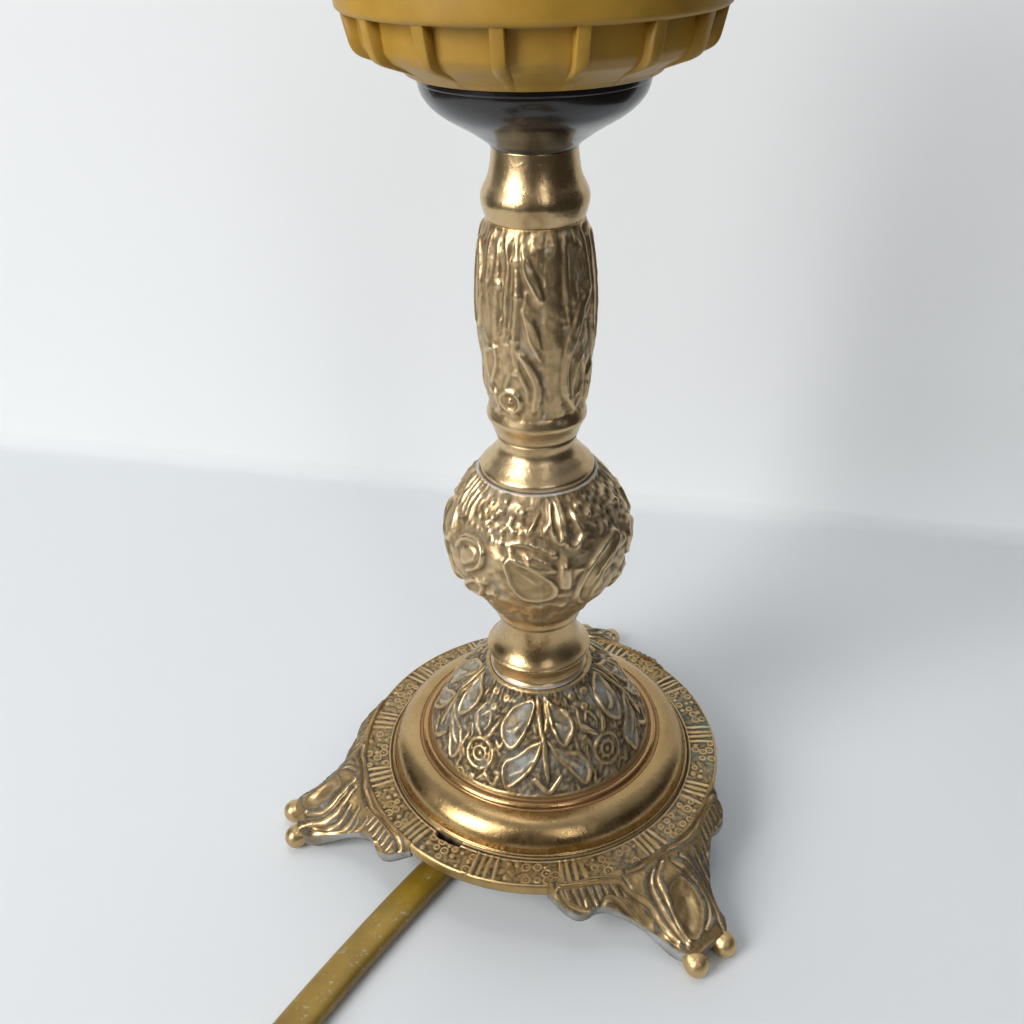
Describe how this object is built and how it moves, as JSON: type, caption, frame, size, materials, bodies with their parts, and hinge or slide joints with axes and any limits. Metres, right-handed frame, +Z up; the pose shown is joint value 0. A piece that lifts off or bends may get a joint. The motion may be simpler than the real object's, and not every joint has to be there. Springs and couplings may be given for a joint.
{
  "type": "table lamp base",
  "caption": "Cast brass candlestick table-lamp base on a three-footed ring, with a threaded lampholder, a shade ring and a flat lead with switch and plug.",
  "frame": {"origin": "on the floor, under the axis of the stem", "axes": "+Z up along the stem and out of the lampholder's mouth; the lead leaves towards -X and -Y"},
  "size_m": [0.1267, 0.2923, 0.1885],
  "materials": {
    "cast_brass": "cast in relief, lacquer worn to a dark patina in the hollows",
    "turned_brass": "turned and polished",
    "zinc_steel": "zinc plated",
    "black_phenolic": "gloss black moulding",
    "white_ceramic": "glazed ceramic",
    "plated_shell": "nickel-plated sheet",
    "terminal_brass": "bright brass",
    "ochre_plastic": "satin gold-ochre moulding",
    "cord_sheath": "olive-gold see-through PVC",
    "core_insulation": "PVC insulation",
    "switch_plastic": "bronze-brown moulding",
    "tie_wire": "paper-covered wire",
    "plug_plastic": "bronze-brown PVC",
    "sleeve_plastic": "black insulation"
  },
  "bodies": {
    "lamp": {"base_casting": "cast_brass", "dome_casting": "cast_brass", "ball_segment": "cast_brass", "baluster_segment": "cast_brass", "top_ferrule": "turned_brass", "stem_pipe": "zinc_steel", "clamp_dish": "zinc_steel", "spring_washer": "zinc_steel", "clamp_nut": "zinc_steel", "cord_bushing": "black_phenolic", "holder_cap": "black_phenolic", "holder_sleeve": "black_phenolic", "contact_block": "white_ceramic", "screw_shell": "plated_shell", "terminal_screws": "terminal_brass", "centre_contact": "terminal_brass", "cord_lead": "cord_sheath", "stem_cord": "cord_sheath", "core_tails": "core_insulation", "switch_base": "switch_plastic", "switch_cover": "switch_plastic", "rocker_pin": "zinc_steel", "switch_terminals": "terminal_brass", "switch_screws": "zinc_steel", "cord_coil": "cord_sheath", "cord_middle": "cord_sheath", "coil_tie": "tie_wire", "plug_body": "plug_plastic", "plug_pins": "terminal_brass", "plug_pin_sleeves": "sleeve_plastic", "plug_relief": "plug_plastic"},
    "shade_ring": {"shade_ring": "ochre_plastic"},
    "rocker": {"switch_rocker": "switch_plastic"}
  },
  "joints": [
    {"name": "shade_ring_travel", "type": "slide", "parent": "lamp", "child": "shade_ring", "axis": [0, 0, 1], "range_m": [0, 0.012]},
    {"name": "rocker_hinge", "type": "hinge", "parent": "lamp", "child": "rocker", "pos_m": [-0.05789, -0.11567, 0.0155], "axis": [0.9885, -0.1513, 0], "range_deg": [0, 18]}
  ]
}
